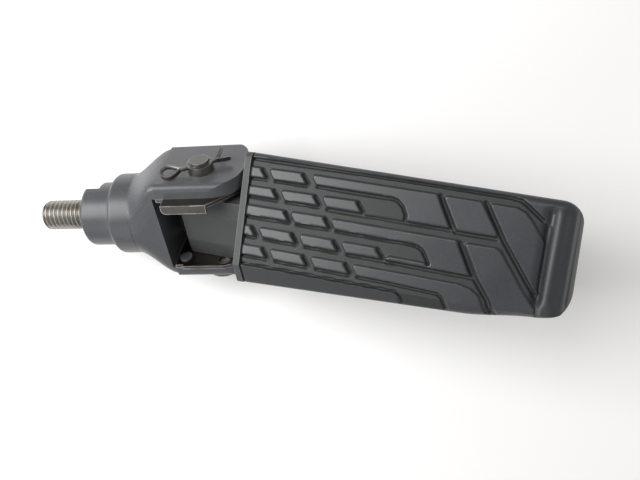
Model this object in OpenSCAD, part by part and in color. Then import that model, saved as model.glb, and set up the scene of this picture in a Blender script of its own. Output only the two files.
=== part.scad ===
// Folding passenger footpeg for a motorcycle, with a threaded stud, a fork
// bracket, a clevis pin and a moulded rubber tread. All lengths are in mm.
// The origin is on the axis of the stud, at the shoulder that seats on the
// frame. +X runs from the shoulder to the peg, and +Z is the tread side.

/* [Stud] */
// Major diameter of the stud thread
stud_d = 10; // [9.5:0.1:12]
// Length of thread that stands out of the bracket
stud_len = 16.5; // [12:0.5:30]
// Chamfer at the tip of the stud
stud_chamfer = 1; // [0.5:0.1:1.5]
// Length of the stud's shank, which is held inside the bracket
stud_seat = 14; // [10:0.5:16]
// Diameter of the stud's shank
shank_d = 9.2; // [7:0.1:9.2]

/* [Neck of the bracket] */
// Diameter of the seating boss
boss_d = 21; // [18:0.5:24]
// Length of the part of the boss that has the flat
boss_len = 5.5; // [5:0.5:9]
// Distance from the stud axis to the flat on the boss
flat_h = 8.2; // [7:0.1:9]
// Length of the round step behind the boss
step_len = 5; // [3:0.5:6]
// Diameter of the collar
collar_d = 26.5; // [25:0.5:30]
// Length of the collar
collar_len = 7.5; // [6:0.5:10]
// Radius on the edges of the boss and the collar
neck_round = 1.6; // [0.8:0.1:2]
// Radial room round the thread in the shoulder
seat_room = 0.3; // [0.2:0.1:0.5]
// Depth of the room round the thread
seat_deep = 0.8; // [0.5:0.1:1.2]

/* [Fork] */
// Distance from the shoulder to the middle of the fork
fork_x = 41.5; // [38:0.5:48]
// Angle between the clevis pin and the horizontal
fork_tilt = 37; // [25:1:45]
// Height of the fork along the pin, over both ears
fork_h = 36.4; // [34:0.2:42]
// Width of the fork across the pin
fork_w = 24.8; // [22:0.2:27]
// Thickness of each ear
ear_t = 4.4; // [3.6:0.2:6]
// Length of the ears past the middle of the fork
ear_end = 14.5; // [13:0.5:14.5]
// Radius of the ear corner on the side that the peg folds to
ear_round_fold = 10; // [8:0.5:10]
// Radius of the other ear corner
ear_round_stop = 8; // [3:0.5:10]
// Depth of the slot behind the middle of the fork
slot_back = 13.5; // [12:0.5:16]
// Radius along the edges of the fork
fork_round = 2; // [1:0.5:3]

/* [Clevis pin] */
// Diameter of the clevis pin
pin_d = 8; // [6:0.5:9]
// Radial running clearance of the pin
pin_gap = 0.05; // [0.02:0.01:0.08]
// Offset of the pin from the middle of the fork, along the stud
pin_a = 1.2; // [0:0.2:2]
// Offset of the pin from the stud axis, towards the fold side
pin_c = 3.5; // [0:0.1:4]
// Length of the pin that stands out of the upper ear
pin_proud = 3.8; // [3.4:0.2:5]
// Diameter of the pin's reduced end
pin_end_d = 6; // [4:0.5:7]
// Diameter of the pin head under the lower ear
head_d = 12; // [10:0.5:14]
// Thickness of the pin head
head_t = 2.5; // [1.5:0.5:4]

/* [Split pin] */
// Diameter of the folded wire
split_d = 1.8; // [1.6:0.1:2.6]
// Radial clearance of the split pin in its hole
split_gap = 0.1; // [0.05:0.05:0.3]
// Outer diameter of the eye
eye_d = 7.2; // [5:0.2:9]
// Length of each leg past the middle of the pin
leg_len = 9; // [7:0.5:12]
// Angle that each leg is spread by
leg_spread = 20; // [5:1:35]
// Direction of the split pin across the ear
split_turn = 25; // [0:1:45]
// Angle that the split pin is rolled by in its hole
split_roll = 18; // [0:1:25]
// Height of the split pin's hole over the ear
split_up = 1.2; // [0.5:0.1:1.5]

/* [Click plates] */
// Thickness of the sheet
plate_t = 1.2; // [0.8:0.1:1.6]
// Distance that each plate stands out past the ear's end
plate_proud = 0.7; // [0.4:0.1:0.8]
// Width of the upper plate's turned-in flange
plate_lip = 3; // [2:0.2:4]
// Distance that the upper plate's flange stands past the fork's side
plate_rise = 3.7; // [2:0.1:3.8]
// Distance that the lower plate's edge stands past the fork's side
plate_edge = 0.8; // [0.4:0.1:2]
// Distance from the middle of the fork back to the start of the flange
lip_back = 9.8; // [9:0.1:11]
// Distance from the middle of the fork to the end of the flange
lip_end = 4.2; // [2:0.1:4.6]
// Diameter of the cast pips that locate each plate
pip_d = 4; // [3:0.2:4]
// Diameter of the click holes
click_d = 4; // [3:0.2:4.4]

/* [Tang and core] */
// Angle from the stud to the peg in use
peg_angle = 15; // [12:1:16]
// Angle that the peg folds through
fold = 75; // [60:5:75]
// Distance from the middle of the fork to the flange
flange_x = 16.2; // [16:0.2:20]
// Thickness of the flange
flange_t = 2; // [1.6:0.2:4]
// Radius of the tang's eye round the pin
tang_r = 9.6; // [8:0.2:9.8]
// Height of the tang's flat top over the middle of the fork
tang_top = 9.5; // [8.5:0.1:10]
// Width of the tang's flat top
tang_top_w = 10.6; // [8:0.2:14]
// Height of the tang's side corners over the middle of the fork
tang_side = 7.6; // [6.5:0.1:8]
// Depth of the tang below the middle of the fork
tang_drop = 7; // [6:0.5:7.5]
// Width of the tang's heel
heel_w = 18; // [15:0.5:20]
// Gap between the heel and the fork when the peg is down
stop_gap = 0.15; // [0.1:0.05:0.3]
// Gap between the tang and each click plate
tang_gap = 0.2; // [0.1:0.05:0.3]
// Thickness of the core's deck
deck_t = 4; // [3:0.5:4.5]
// Thickness of the core's ribs
rib_t = 3; // [2:0.5:4]
// Height of the core's ribs with its deck
core_h = 12; // [10:0.5:13]

/* [Rubber tread] */
// Distance from the middle of the fork to the outer end
tread_end = 113; // [111:1:130]
// Width of the tread at the flange
tread_w = 40; // [39:0.5:44]
// Width of the tread at its outer end
tread_w_end = 33; // [32:0.5:38]
// Height of the tread's top over the middle of the fork
tread_z = 12.9; // [12.5:0.1:13.5]
// Height of the rubber from its rim to the tread
tread_h = 22; // [21.5:0.5:24]
// Width of the slope along the tread's front edge
slope_w = 5.5; // [4:0.5:6]
// Drop of the slope along the tread's front edge
slope_h = 4.5; // [3:0.5:6]
// Radius along the tread's rear edge
edge_r = 2.2; // [1.6:0.2:3]
// Thickness of the rubber's side walls
wall = 4; // [3:0.5:4]
// Thickness of the rubber over the core
tread_t = 5; // [4.8:0.1:5.5]
// Thickness of the rubber at the outer end
end_t = 9; // [7:0.5:12]
// Radius of the rubber's rear corner at the outer end
end_round = 6; // [4:0.5:8]
// Radius of the rubber's front corner at the outer end
end_round_front = 10; // [6:0.5:11]
// Radius of the rubber's top edge at the outer end
end_roll = 6; // [4:0.5:8]
// Clearance between the rubber and the core
rubber_gap = 0.2; // [0.1:0.05:0.3]

/* [Tread pattern] */
// Height of the raised pattern
block_h = 1; // [0.6:0.1:1.2]
// Length of a block along its row
block_l = 10.6; // [9:0.2:11.4]
// Width of a block across its row
block_w = 3.5; // [3:0.1:4.2]
// Spacing of the blocks along a row
block_step = 13.1; // [12.8:0.1:14]
// Spacing of the rows
row_step = 6; // [5.6:0.05:6.05]
// Distance of the first row's rear edge from the middle
row_y = 15; // [14.6:0.1:15.2]
// Distance of the first row's second block from the middle of the fork
row_x = 24.4; // [22:0.2:26]
// Slant of the block ends, as run along the row over rise across it
slant = 0.65; // [0.4:0.05:0.7]
// Width of the fine grooves
groove_w = 1; // [0.8:0.1:1.2]
// Distance of the border groove from the rear edge
border = 2.8; // [2.4:0.1:3.2]

/* [Fixings of the rubber] */
// Diameter of the fixing screws
screw_d = 6; // [5:0.5:6]
// Radial gap round each screw in the core
screw_gap = 0.3; // [0.2:0.05:0.4]
// Distance from the middle of the fork to the inner screw
screw_x = 40; // [36:0.5:44]
// Distance between the two screws
screw_pitch = 44; // [36:0.5:46]
// Diameter of the bosses round the screws
screw_boss_d = 13; // [12.5:0.5:15]
// Height of the bosses with the core's deck
screw_boss_h = 8; // [6:0.5:9]
// Thickness of the screw heads
screw_head_t = 4; // [3:0.5:4]
// Width of the screw heads across their flats
screw_head_w = 10; // [8:0.5:10]
// Thickness of the washers
washer_t = 1.2; // [0.8:0.1:1.6]
// Diameter of the washers
washer_d = 12; // [11:0.5:12]
// Thickness of the steel plate bonded in the rubber
insert_t = 2; // [1.5:0.1:2]
// Width of the steel plate bonded in the rubber
insert_w = 18; // [16:0.5:20]
// Height of the threaded collars on the plate
collar_h = 2.5; // [2:0.1:2.5]
// Diameter of the threaded collars on the plate
nut_d = 10; // [9:0.5:11]

/* [Click ball] */
// Diameter of the ball
ball_d = 4.6; // [4:0.1:4.8]
// Distance of the ball from the pin's axis
click_r = 7; // [6.6:0.1:7]
// Direction of the ball from the pin, turned from the peg's length
click_a = -20; // [-40:5:-10]
// Clearance round the ball and its spring
ball_gap = 0.1; // [0.05:0.05:0.15]
// Wire diameter of the spring
wire_d = 0.6; // [0.5:0.1:0.8]
// Length of the spring
spring_l = 8; // [7:0.5:9]

/* [Hidden] */
$fn = 64;
ear_face = fork_h / 2;
ear_inner = ear_face - ear_t;
plate_in = ear_inner - plate_t;
tang_half = plate_in - tang_gap;
neck_half = plate_in + plate_t - plate_lip - tang_gap;
neck_len = boss_len + step_len + collar_len;
flare_x = neck_len - 0.7;
flare_l = fork_x - 11.8 - flare_x;
flare_sink = 0.12;
split_b = ear_face + split_d / 2 + split_up;
pin_end = ear_face + pin_proud;
rubber_x = flange_x + flange_t;
deck_top = tread_z - tread_t - insert_t;
rim_z = tread_z - tread_h;
core_end = tread_end - end_t;
pip_a = -9.6;
pip_c = 8.6;
peg_x = pin_a * cos(peg_angle) + pin_c * sin(peg_angle);
peg_n = pin_c * cos(peg_angle) - pin_a * sin(peg_angle);
ball_x = peg_x + click_r * cos(click_a);
ball_n = peg_n + click_r * sin(click_a);
ball_b = ball_gap - plate_in + ball_d / 2;
washer_z = deck_top - screw_boss_h;

module fork_frame() {
    translate([fork_x, 0, 0]) rotate([fork_tilt, 0, 0]) children();
}

module pin_frame() {
    fork_frame() translate([pin_a, 0, pin_c]) children();
}

module peg_frame() {
    fork_frame() rotate([0, -peg_angle, 0]) children();
}

module tread_frame() {
    peg_frame() rotate([-fork_tilt, 0, 0]) children();
}

// A cylinder along Y, from y0 to y1
module across(r, y0, y1) {
    translate([0, y1, 0]) rotate([90, 0, 0]) cylinder(r = r, h = y1 - y0);
}

// A square whose corners are rounded
module soft_square(x, y, r) {
    square([x - 2 * r, y], center = true);
    square([x, y - 2 * r], center = true);
    for (i = [-1, 1], j = [-1, 1])
        translate([i * (x / 2 - r), j * (y / 2 - r)]) circle(r = r);
}

// How far the flare has opened, at a share t of its length
function flare_s(t) = pow(sin(90 * t), 1.4);

// A point at the angle q of a rounded outline; m sets how square it is
function flare_pt(q, a, c, m) = [a * sign(cos(q)) * pow(abs(cos(q)), m),
    c * sign(sin(q)) * pow(abs(sin(q)), m)];

module flare() {
    n = 48;
    k = 10;
    r = collar_d / 2 - flare_sink;
    pts = [for (i = [0:k], j = [0:n - 1])
        let (t = i / k, s = flare_s(t),
            p = flare_pt(360 * (j + 0.5) / n, r + (ear_face - flare_sink - r) * s,
                r + (fork_w / 2 - flare_sink - r) * s, 1 - 0.82 * s))
        [flare_x + flare_l * t, p[0], p[1]]];
    sides = [for (i = [0:k - 1], j = [0:n - 1]) let (m = (j + 1) % n)
        each [[i * n + j, (i + 1) * n + j, (i + 1) * n + m],
            [i * n + j, (i + 1) * n + m, i * n + m]]];
    ends = [[for (j = [0:n - 1]) j], [for (j = [n - 1:-1:0]) k * n + j]];
    polyhedron(pts, concat(sides, ends));
}

// Outline of an ear, seen along the pin, with its end moved out by more
module ear_outline(more) {
    rf = ear_round_fold + more;
    rs = ear_round_stop + more;
    x1 = ear_end + more;
    y1 = fork_w / 2;
    difference() {
        translate([-fork_x, -y1]) square([fork_x + x1, 2 * y1]);
        translate([x1 - rf, y1 - rf]) difference() {
            square([rf + 1, rf + 1]);
            circle(r = rf);
        }
        translate([x1 - rs, -y1]) difference() {
            translate([0, -1]) square([rs + 1, rs + 1]);
            translate([0, rs]) circle(r = rs);
        }
    }
}

module fork_block() {
    x0 = flare_x + flare_l - 0.5 - fork_x;
    intersection() {
        translate([x0, 0, 0]) rotate([90, 0, 90])
            linear_extrude(ear_end - x0 + 1) soft_square(fork_h, fork_w, fork_round);
        translate([0, ear_face + 1, 0]) rotate([90, 0, 0])
            linear_extrude(fork_h + 2) ear_outline(0);
    }
}

module neck() {
    r = neck_round;
    rb = boss_d / 2;
    rc = collar_d / 2;
    x1 = boss_len + step_len;
    rotate([0, 90, 0]) rotate_extrude($fn = 96) {
        square([rb - r, x1 + 1]);
        translate([0, r]) square([rb, x1 + 1 - r]);
        translate([rb - r, r]) circle(r = r);
        translate([0, x1]) square([rc - r, collar_len]);
        translate([0, x1 + r]) square([rc, collar_len - r]);
        translate([rc - r, x1 + r]) circle(r = r);
    }
}

module bracket() {
    color("#55565c") difference() {
        union() {
            difference() {
                neck();
                translate([-1, flat_h, -boss_d]) cube([boss_len + 1, boss_d, 2 * boss_d]);
            }
            rotate([fork_tilt, 0, 0]) flare();
            fork_frame() fork_block();
        }
        translate([-1, 0, 0]) rotate([0, 90, 0])
            cylinder(d = shank_d, h = stud_seat + 1);
        translate([-1, 0, 0]) rotate([0, 90, 0])
            cylinder(r = stud_d / 2 + seat_room, h = seat_deep + 1);
        fork_frame() difference() {
            translate([-slot_back, -ear_inner, -fork_w])
                cube([slot_back + ear_end + 5, 2 * ear_inner, 2 * fork_w]);
            for (s = [-1, 1]) translate([pip_a, 0, pip_c])
                translate([0, s * (ear_inner + plate_in) / 2, 0])
                    across(pip_d / 2, -plate_t / 2, plate_t / 2 + 0.5);
        }
        pin_frame() across(pin_d / 2 + pin_gap, -fork_h, fork_h);
    }
}

module threaded_stud() {
    color("#8d8780") rotate([0, 90, 0]) union() {
        translate([0, 0, stud_chamfer - stud_len])
            cylinder(d = stud_d, h = stud_len - stud_chamfer);
        cylinder(d = shank_d, h = stud_seat);
        translate([0, 0, -stud_len])
            cylinder(d1 = stud_d - 2 * stud_chamfer, d2 = stud_d, h = stud_chamfer);
    }
}

module pivot_pin() {
    color("#5d5a57") pin_frame() difference() {
        union() {
            across(pin_d / 2, -ear_face, pin_end - 1);
            across(pin_end_d / 2, -ear_face, pin_end);
            across(head_d / 2, -ear_face - head_t, -ear_face);
        }
        translate([0, split_b, 0]) rotate([0, 90 + split_turn, 0])
            cylinder(r = split_d / 2 + split_gap, h = 2 * pin_d, center = true);
    }
}

// A straight wire from point a to point b
module wire(a, b, r) {
    d = b - a;
    l = norm(d);
    translate(a) rotate([0, acos(d[2] / l), atan2(d[1], d[0])]) cylinder(r = r, h = l, $fn = 32);
}

// The split pin's own directions: X along it, from the eye to the legs
module split_frame() {
    pin_frame() translate([0, split_b, 0])
        rotate([0, split_turn, 0]) rotate([split_roll, 0, 0]) children();
}

module split_pin() {
    r = split_d / 4;
    e = eye_d / 2 - r;
    x0 = -eye_d / 2 - 6.6;
    xe = pin_d / 2 + 0.6;
    dx = (leg_len - xe) * cos(leg_spread);
    dz = (leg_len - xe) * sin(leg_spread) + r;
    color("#8a8580") split_frame() {
        translate([x0, 0, 0]) rotate([90, 0, 0])
            rotate_extrude($fn = 60) translate([e, 0]) circle(r = r, $fn = 32);
        for (s = [-1.05, 1.05]) {
            wire([x0 + e, 0, s * r], [xe, 0, s * r], r * 0.98);
            wire([xe - 0.2, 0, s * r], [xe + dx, 0, s * dz], r * 0.95);
        }
    }
}

// The sheet of a click plate, with its side edge moved out by rise
module plate_sheet(rise) {
    rf = ear_round_fold + plate_proud;
    o = [ear_end + plate_proud - rf, fork_w / 2 - rf];
    p = [lip_end, fork_w / 2 + rise];
    q = atan2(p[1] - o[1], p[0] - o[0]) - acos((rf - 0.02) / norm(p - o));
    e = o + (rf - 0.02) * [cos(q), sin(q)];
    union() {
        linear_extrude(plate_t) intersection() {
            ear_outline(plate_proud);
            translate([1.2 - slot_back, -fork_w / 2]) square([fork_w * 2, fork_w]);
        }
        linear_extrude(plate_t)
            polygon([[-lip_back, fork_w / 4], [-lip_back, p[1]], p, e, [e[0], fork_w / 4]]);
    }
}

// The turned-in flange, with round corners at the end by the neck
module plate_lip_strip() {
    r = plate_lip * 0.45;
    translate([0, 0, fork_w / 2 + plate_rise - plate_t]) linear_extrude(plate_t) {
        translate([-lip_back + r, -plate_in - plate_t])
            square([lip_end + lip_back - r, plate_lip]);
        translate([-lip_back, r - plate_in - plate_t]) square([2 * r, plate_lip - 2 * r]);
        for (y = [r, plate_lip - r])
            translate([r - lip_back, y - plate_in - plate_t]) circle(r = r);
    }
}

// A click plate on the lower side; the upper one is its mirror image
module click_plate(rise) {
    difference() {
        translate([0, -plate_in, 0]) rotate([90, 0, 0]) plate_sheet(rise);
        translate([pin_a, 0, pin_c]) across(pin_d / 2 + pin_gap + 0.05, -fork_h, 0);
        translate([pip_a, 0, pip_c]) across(pip_d / 2 + 0.1, -fork_h, 0);
        translate([pin_a, 0, pin_c]) for (q = [click_a + peg_angle, click_a + peg_angle + fold])
            translate([click_r * cos(q), 0, click_r * sin(q)])
                across(click_d / 2, -fork_h, 0);
    }
}

module upper_click_plate() {
    color("#b5b2aa") fork_frame() mirror([0, 1, 0]) {
        click_plate(plate_rise);
        plate_lip_strip();
    }
}

module lower_click_plate() {
    color("#b5b2aa") fork_frame() click_plate(plate_edge);
}

// The tang, which turns on the clevis pin inside the fork
module tang() {
    h = 2 * tang_half;
    peg_frame() difference() {
        intersection() {
            union() {
                translate([peg_x, 0, peg_n]) across(tang_r, -tang_half, tang_half);
                translate([peg_x, -tang_half, -tang_drop])
                    cube([tang_r, h, tang_drop + peg_n]);
                translate([peg_x, -neck_half, -tang_drop])
                    cube([flange_x + 0.5 - peg_x, 2 * neck_half, tang_drop + tang_top]);
                translate([-slot_back - 5, -heel_w / 2, -tang_drop])
                    cube([slot_back + 5 + peg_x, heel_w, tang_drop + 1]);
            }
            rotate([90, 0, 90]) translate([0, 0, -slot_back - 6])
                linear_extrude(slot_back + flange_x + 10) polygon([
                    [-tang_half, -tang_drop - 9], [tang_half, -tang_drop - 9],
                    [tang_half, tang_side], [tang_top_w / 2, tang_top],
                    [-tang_top_w / 2, tang_top], [-tang_half, tang_side]]);
        }
        rotate([0, peg_angle, 0]) translate([-slot_back - fork_x, -fork_h, -fork_h])
            cube([fork_x + stop_gap, 2 * fork_h, 2 * fork_h]);
        translate([peg_x, 0, peg_n]) across(pin_d / 2 + pin_gap, -fork_h, fork_h);
        translate([ball_x, 0, ball_n])
            across(ball_d / 2 + ball_gap, -fork_h, ball_b + spring_l);
    }
}

// Half the width of the rubber at the distance x from the middle of the fork
function half_w(x) = tread_w / 2
    + (tread_w_end - tread_w) / 2 * (x - rubber_x) / (tread_end - rubber_x);

// Points of an arc about c, from the angle q0 to q1
function arc(c, r, q0, q1, n = 6) =
    [for (i = [0:n]) let (q = q0 + (q1 - q0) * i / n) c + r * [cos(q), sin(q)]];

// Cross-section of the peg, seen along its length, with Y across and Z up
module section(w) {
    polygon(concat([[-w, tread_z - slope_h], [-w, rim_z + 1], [1 - w, rim_z],
        [w - 1, rim_z], [w, rim_z + 1]],
        arc([w - edge_r, tread_z - edge_r], edge_r, 0, 90),
        [[slope_w - w, tread_z]]));
}

// Plan of the rubber, drawn in by less, from x0 to x1
module plan(less, x0, x1, r, rf) {
    w0 = half_w(x0) - less;
    w1 = half_w(x1) - less;
    polygon(concat([[x0, -w0]], arc([x1 - rf, rf - w1], rf, -90, 0),
        arc([x1 - r, w1 - r], r, 0, 90), [[x0, w0]]));
}

// A rib that follows the side of the core, at the distance less inside it
module side_rib(less, x1) {
    difference() {
        plan(less, rubber_x - 0.5, x1, 2, 4);
        plan(less + rib_t, rubber_x - 1, x1 - rib_t, 1, 2);
    }
}

module screw_places() {
    for (i = [0, 1]) translate([screw_x + i * screw_pitch, 0, 0]) children();
}

module peg_core() {
    x1 = core_end - rubber_gap;
    less = wall + rubber_gap;
    color("#6f7274") union() {
        tang();
        tread_frame() {
            difference() {
                union() {
                    translate([flange_x, 0, 0]) rotate([90, 0, 90])
                        linear_extrude(flange_t) section(tread_w / 2);
                    translate([0, 0, deck_top - deck_t])
                        linear_extrude(deck_t) plan(less, rubber_x - 0.5, x1, 2, 4);
                    translate([0, 0, deck_top - core_h])
                        linear_extrude(core_h - deck_t + 0.5) side_rib(less, x1);
                    screw_places() translate([0, 0, washer_z])
                        cylinder(d = screw_boss_d, h = screw_boss_h - 1);
                    for (i = [0, 1]) translate([screw_x + i * screw_pitch, 0, 0])
                        for (s = [-1, 1]) translate([-rib_t / 2, s > 0 ? screw_boss_d / 2 - 1
                            : -half_w(screw_x + i * screw_pitch) + less + 1, washer_z])
                            cube([rib_t, half_w(screw_x + i * screw_pitch) - less
                                - screw_boss_d / 2, screw_boss_h - 1]);
                }
                screw_places() translate([0, 0, washer_z - 5])
                    cylinder(r = screw_d / 2 + screw_gap, h = screw_boss_h + 10);
            }
        }
    }
}

// A parallelogram with its rear corner at x, y
module slant_block(x, y, l, w) {
    polygon([[x, y], [x + l, y], [x + l + slant * w, y - w], [x + slant * w, y - w]]);
}

// A straight band of width w from point a to point b
module band(a, b, w) {
    d = b - a;
    translate(a) rotate(atan2(d[1], d[0])) translate([0, -w / 2]) square([norm(d), w]);
}

// Distance from the middle to the rear edge of row k, counted from 0
function row_at(k) = row_y - k * row_step;

// The parts of the tread that lie below its raised pattern
module low_ground() {
    g = groove_w;
    s = block_step;
    r0 = row_x;
    sh = slant * row_step;
    y1 = row_at(0) - block_w;
    y2 = row_at(2);
    y3 = row_at(2) - block_w;
    y4 = row_at(4);
    b0 = tread_w / 2 - border;
    b1 = half_w(96) - border;
    x3 = r0 + 2 * s;
    difference() {
        polygon([[rubber_x - 1, row_at(0) + 2.4], [r0 + s - 1.6, row_at(0) + 1.9],
            [r0 + s + slant * block_w - 1.6, y1], [r0 + 3 * s - 2, y1],
            [r0 + 3 * s + 2, y1 - 1.6], [r0 + 3 * s + 3.4, y1 - 4.4],
            [r0 + 3 * s + 2, y2 + 1.4], [r0 + s + 2 * sh - 1.4, y2 + 1.4],
            [r0 + s + 2 * sh + slant * block_w - 2.4, y3],
            [r0 + 3.6 * s, y3], [r0 + 3.8 * s, y3 - 1.6],
            [r0 + 3.95 * s, y4 + 2.4], [r0 + 3.8 * s, y4 + 1.6],
            [r0 + s + 4 * sh - 1.6, y4 + 1.4],
            [r0 + s + 4 * sh + slant * block_w - 1, y4 - block_w],
            [rubber_x - 1, y4 - block_w - 1.4]]);
        for (k = [0:4], j = [-2:2]) {
            x = r0 + k * sh + (j - (k > 2 ? 1 : 0)) * s;
            if (x < r0 + (k == 3 ? 3 : k == 1 ? 2 : 0.9) * s + 3 && x > rubber_x - block_l)
                slant_block(x, row_at(k), block_l, block_w);
        }
    }
    band([rubber_x - 1, b0], [94, b1], g);
    band([93.6, b1], [98.6, b1 - 1.4], g);
    band([98.4, b1 - 1.2], [103, b1 - 5], g);
    band([75, 13.2], [80.6, 4.4], g);
    band([64, y2 + 2.2], [93.6, y2 + 1.2], g);
    band([88, 12.8], [93.8, 3.6], 1.6);
    band([93.6, 4], [103, -9], 1.6);
    band([82.8, 2], [87.4, -6.8], g);
    band([87.2, -6.4], [94, -14.8], g);
    band([54, y4 + 2.2], [87.6, y4 + 1.4], g);
    band([67, y4 - 0.4], [86, -9.6], g);
    band([rubber_x - 1, slope_w - tread_w / 2 + 1], [68, slope_w - half_w(68) + 0.6], g);
}

module rubber_tread() {
    color("#3c4044") tread_frame() difference() {
        intersection() {
            translate([rubber_x, 0, 0]) rotate([90, 0, 90])
                linear_extrude(tread_end - rubber_x) section(tread_w / 2);
            translate([0, 0, rim_z - 1]) linear_extrude(tread_h + 2)
                plan(0, rubber_x, tread_end, end_round, end_round_front);
            translate([0, tread_w, 0]) rotate([90, 0, 0]) linear_extrude(2 * tread_w)
                polygon(concat([[rubber_x, rim_z], [tread_end - 2, rim_z],
                    [tread_end, rim_z + 2]],
                    arc([tread_end - end_roll, tread_z - end_roll], end_roll, 0, 90),
                    [[rubber_x, tread_z]]));
        }
        translate([0, 0, rim_z - 1]) linear_extrude(deck_top - rim_z + 1)
            plan(wall, rubber_x - 1, core_end, 2, 4);
        translate([screw_x - 12, -insert_w / 2 - rubber_gap / 2, deck_top - 0.5])
            cube([screw_pitch + 24, insert_w + rubber_gap, insert_t + 0.5 + rubber_gap / 2]);
        screw_places() translate([0, 0, deck_top])
            cylinder(d = nut_d + rubber_gap, h = insert_t + collar_h + rubber_gap / 2);
        translate([0, 0, tread_z - block_h]) linear_extrude(block_h + 1) low_ground();
    }
}

module insert_plate() {
    color("#9a9a98") tread_frame() difference() {
        union() {
            translate([screw_x - 12 + rubber_gap, -insert_w / 2, deck_top])
                cube([screw_pitch + 24 - 2 * rubber_gap, insert_w, insert_t]);
            screw_places() translate([0, 0, deck_top + insert_t - 0.1])
                cylinder(d = nut_d, h = collar_h + 0.1);
        }
        screw_places() translate([0, 0, deck_top - 1])
            cylinder(d = screw_d, h = insert_t + collar_h + 2);
    }
}

module screw(i) {
    top = deck_top + insert_t + collar_h - 0.3;
    color("#9d9a94") tread_frame() translate([screw_x + i * screw_pitch, 0, 0]) {
        translate([0, 0, washer_z - washer_t]) cylinder(d = screw_d, h = top - washer_z + washer_t);
        translate([0, 0, washer_z - washer_t - screw_head_t])
            cylinder(d = screw_head_w / cos(30), h = screw_head_t, $fn = 6);
    }
}

module washer(i) {
    color("#a5a29b") tread_frame()
        translate([screw_x + i * screw_pitch, 0, washer_z - washer_t]) difference() {
            cylinder(d = washer_d, h = washer_t);
            translate([0, 0, -1]) cylinder(r = screw_d / 2 + screw_gap, h = washer_t + 2);
        }
}

module inner_screw() {
    screw(0);
}

module outer_screw() {
    screw(1);
}

module inner_washer() {
    washer(0);
}

module outer_washer() {
    washer(1);
}

module click_ball() {
    color("#c9c9c6") peg_frame() translate([ball_x, ball_b, ball_n]) sphere(d = ball_d);
}

// The spring behind the ball, as a stack of rings in the shape of its coils
module click_spring() {
    r = ball_d / 2 - wire_d / 2;
    y0 = ball_b + ball_d / 2 + ball_gap;
    l = spring_l - ball_d / 2 - 2 * ball_gap;
    color("#b4b2ac") peg_frame() translate([ball_x, y0, ball_n]) rotate([-90, 0, 0])
        difference() {
            cylinder(r = r + wire_d / 2, h = l);
            translate([0, 0, -1]) cylinder(r = r - wire_d / 2, h = l + 2);
        }
}

bracket();
threaded_stud();
pivot_pin();
split_pin();
upper_click_plate();
lower_click_plate();
peg_core();
rubber_tread();
insert_plate();
inner_screw();
outer_screw();
inner_washer();
outer_washer();
click_ball();
click_spring();
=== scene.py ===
# %% [markdown]
# # A motorcycle passenger footpeg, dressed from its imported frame
#
# The metal of the footpeg already exists: it was built as solids and packed.
# This lesson loads it, keeps the pieces whose shape is right, and makes new
# surfaces for the pieces whose beauty is finer than a solid should carry: the
# cut thread of the stud, the moulded tread of the rubber, the bent wire of the
# split pin and the coil of the click spring. Then every surface gets a finish
# built from nodes, and the peg is lit like a catalogue picture on white paper.

# %% Load the frame
import math

import bpy
import numpy as np
from mathutils import Matrix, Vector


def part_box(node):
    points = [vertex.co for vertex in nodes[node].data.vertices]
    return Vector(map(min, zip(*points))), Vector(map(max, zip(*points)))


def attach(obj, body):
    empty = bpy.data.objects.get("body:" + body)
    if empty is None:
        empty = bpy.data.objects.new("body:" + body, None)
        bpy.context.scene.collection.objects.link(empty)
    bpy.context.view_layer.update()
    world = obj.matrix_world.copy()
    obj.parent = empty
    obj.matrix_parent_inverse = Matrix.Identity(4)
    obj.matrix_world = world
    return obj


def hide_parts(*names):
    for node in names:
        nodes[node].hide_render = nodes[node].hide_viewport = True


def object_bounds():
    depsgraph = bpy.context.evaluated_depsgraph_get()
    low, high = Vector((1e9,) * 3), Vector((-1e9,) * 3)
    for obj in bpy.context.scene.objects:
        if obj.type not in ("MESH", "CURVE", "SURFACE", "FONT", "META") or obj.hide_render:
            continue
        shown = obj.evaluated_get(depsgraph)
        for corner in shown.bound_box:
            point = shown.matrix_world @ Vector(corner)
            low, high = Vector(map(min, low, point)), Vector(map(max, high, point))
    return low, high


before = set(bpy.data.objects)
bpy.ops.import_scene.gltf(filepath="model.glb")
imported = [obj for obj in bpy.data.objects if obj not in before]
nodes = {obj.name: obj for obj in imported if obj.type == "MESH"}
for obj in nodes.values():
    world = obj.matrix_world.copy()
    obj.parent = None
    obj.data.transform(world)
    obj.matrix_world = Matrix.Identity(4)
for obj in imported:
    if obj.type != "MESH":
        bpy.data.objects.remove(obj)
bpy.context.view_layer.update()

# %% [markdown]
# ## Where the photographer stood
#
# A camera can be placed by eye, or worked out from points that are seen in the
# picture and known on the object. Here it was worked out, so the position and
# the three turning angles are plain numbers in the frame of the part, and the
# lens follows from how fast the far end of the peg grows smaller.

# %% The camera
MM = 0.001
CAMERA_PLACE = (106.95, -2.73, 209.22)
CAMERA_TURN = ((0.98975, 0.02005, 0.14141), (-0.02541, 0.99902, 0.03616), (-0.14055, -0.03938, 0.98929))
CAMERA_LENS = 36.91

lens = bpy.data.cameras.new("catalogue_camera")
lens.sensor_width = 36.0
lens.lens = CAMERA_LENS
lens.clip_start, lens.clip_end = 0.005, 20.0
camera = bpy.data.objects.new("catalogue_camera", lens)
bpy.context.scene.collection.objects.link(camera)
camera.matrix_world = Matrix.Translation([v * MM for v in CAMERA_PLACE]) @ Matrix(CAMERA_TURN).to_4x4()
bpy.context.scene.camera = camera
print("camera stands", round(CAMERA_PLACE[2]), "mm above the shoulder of the stud")

# %% [markdown]
# ## Three sets of directions
#
# The bracket is turned about the stud, and the tread leans again against the
# bracket. It is easier to describe the rubber along its own length, width and
# height than in the frame of the part, so two small functions carry numbers
# from those leaning directions back to the frame. They work on whole arrays.

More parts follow.
